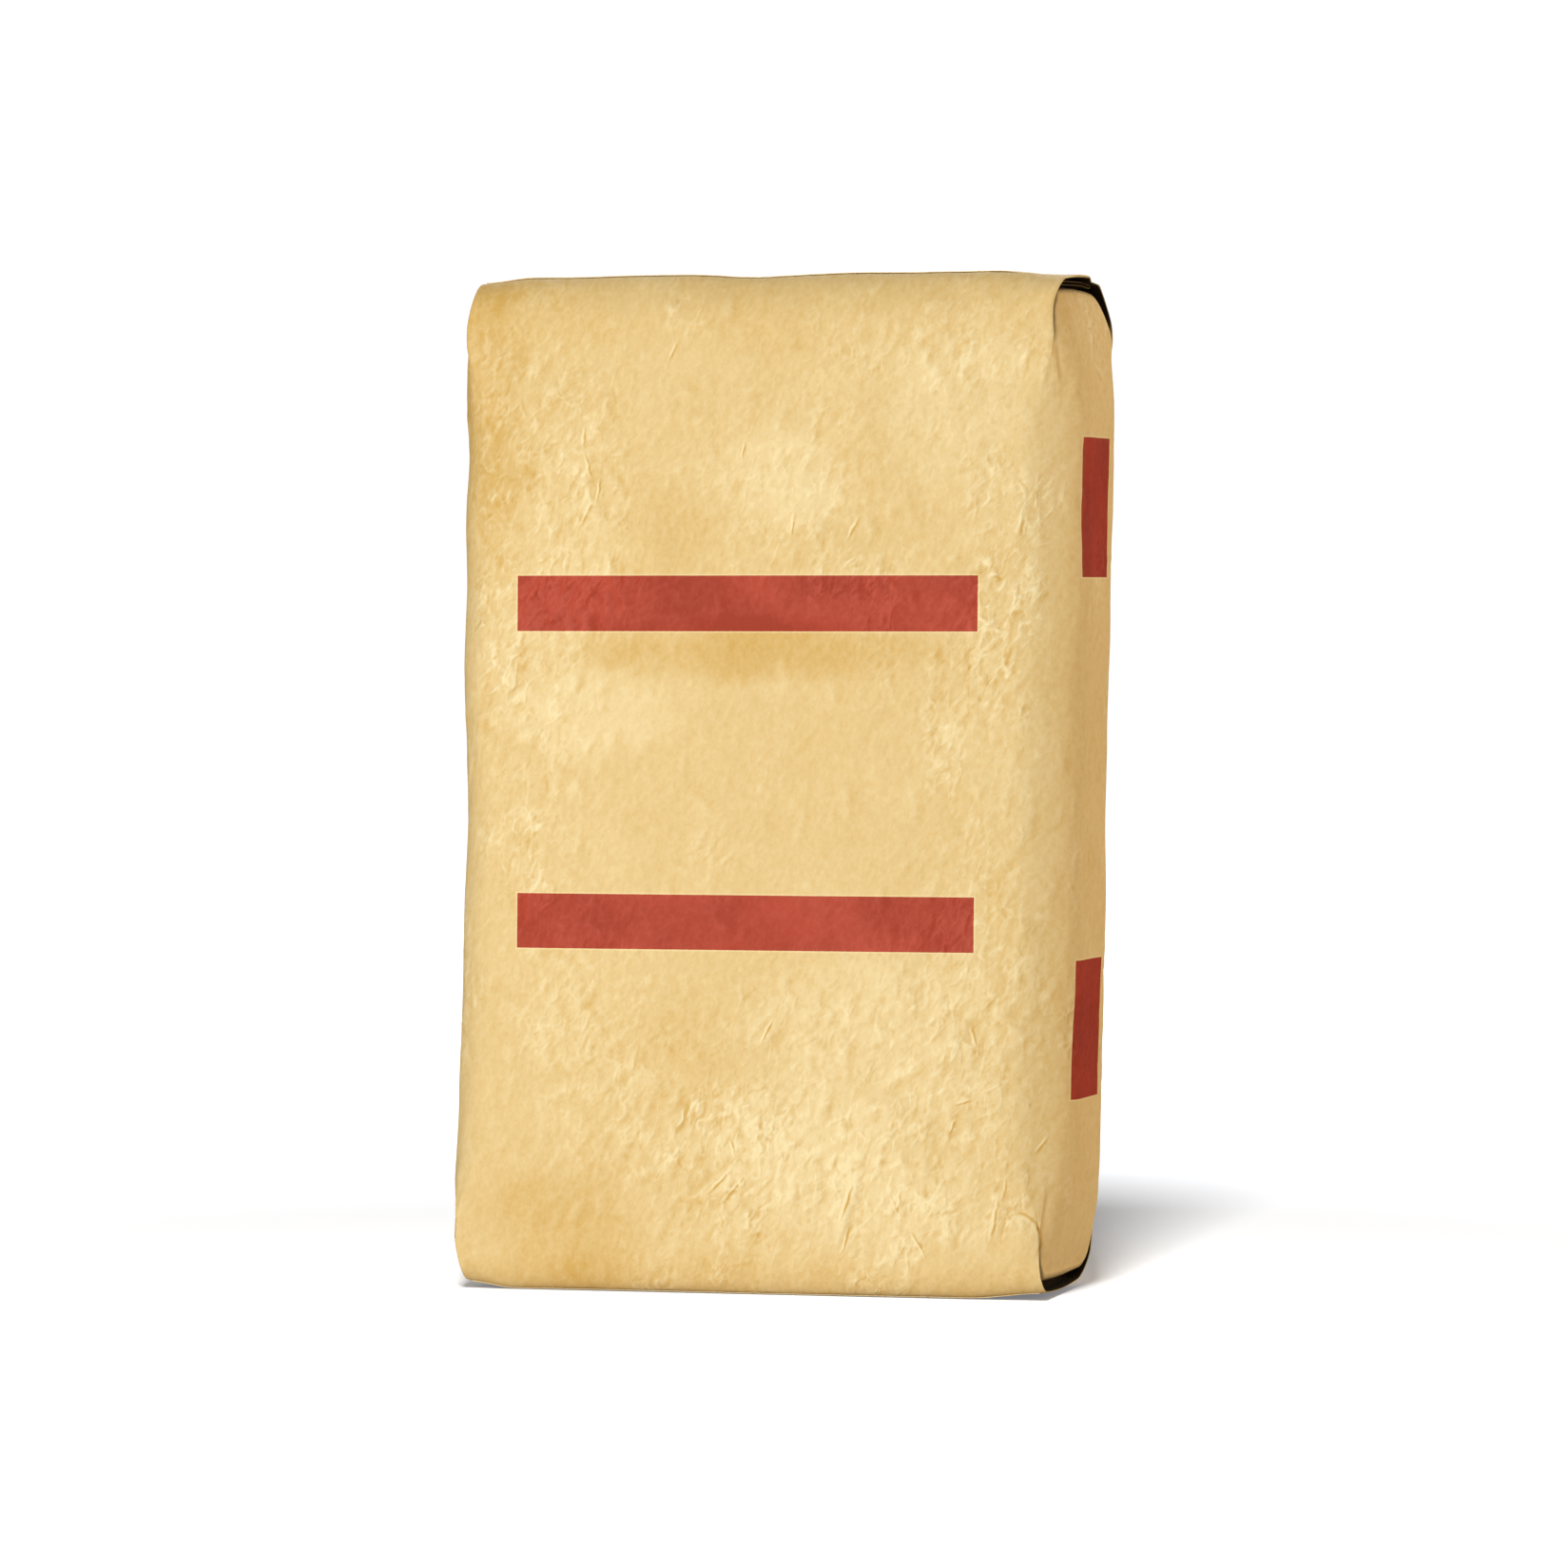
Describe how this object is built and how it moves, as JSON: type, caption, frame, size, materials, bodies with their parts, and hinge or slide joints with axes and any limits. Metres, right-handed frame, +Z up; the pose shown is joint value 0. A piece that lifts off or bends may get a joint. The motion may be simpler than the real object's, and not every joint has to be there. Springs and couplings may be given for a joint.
{
  "type": "bag of hydrated lime",
  "caption": "Filled kraft paper valve sack of hydrated lime, pasted block ends with tucked sides, standing upright on its base.",
  "frame": {"origin": "centre of the bounding box in plan, on the underside of the bottom patch", "axes": "+Z up, from the bottom block end to the top one; -Y is the front panel; +X is the right side, whose top corner holds the valve"},
  "size_m": [0.4064, 0.143, 0.64],
  "materials": {
    "kraft_paper": "unbleached kraft paper, matt, with soft crinkles and plain red bars",
    "patch_paper": "unbleached kraft paper cover strip, pasted flat",
    "valve_paper": "unbleached kraft paper sleeve, flattened",
    "lime_powder": "dry white powder, packed"
  },
  "bodies": {
    "root": {"paper_sack": "kraft_paper", "top_patch": "patch_paper", "bottom_patch": "patch_paper", "valve_sleeve": "valve_paper", "lime_fill": "lime_powder"}
  },
  "joints": []
}
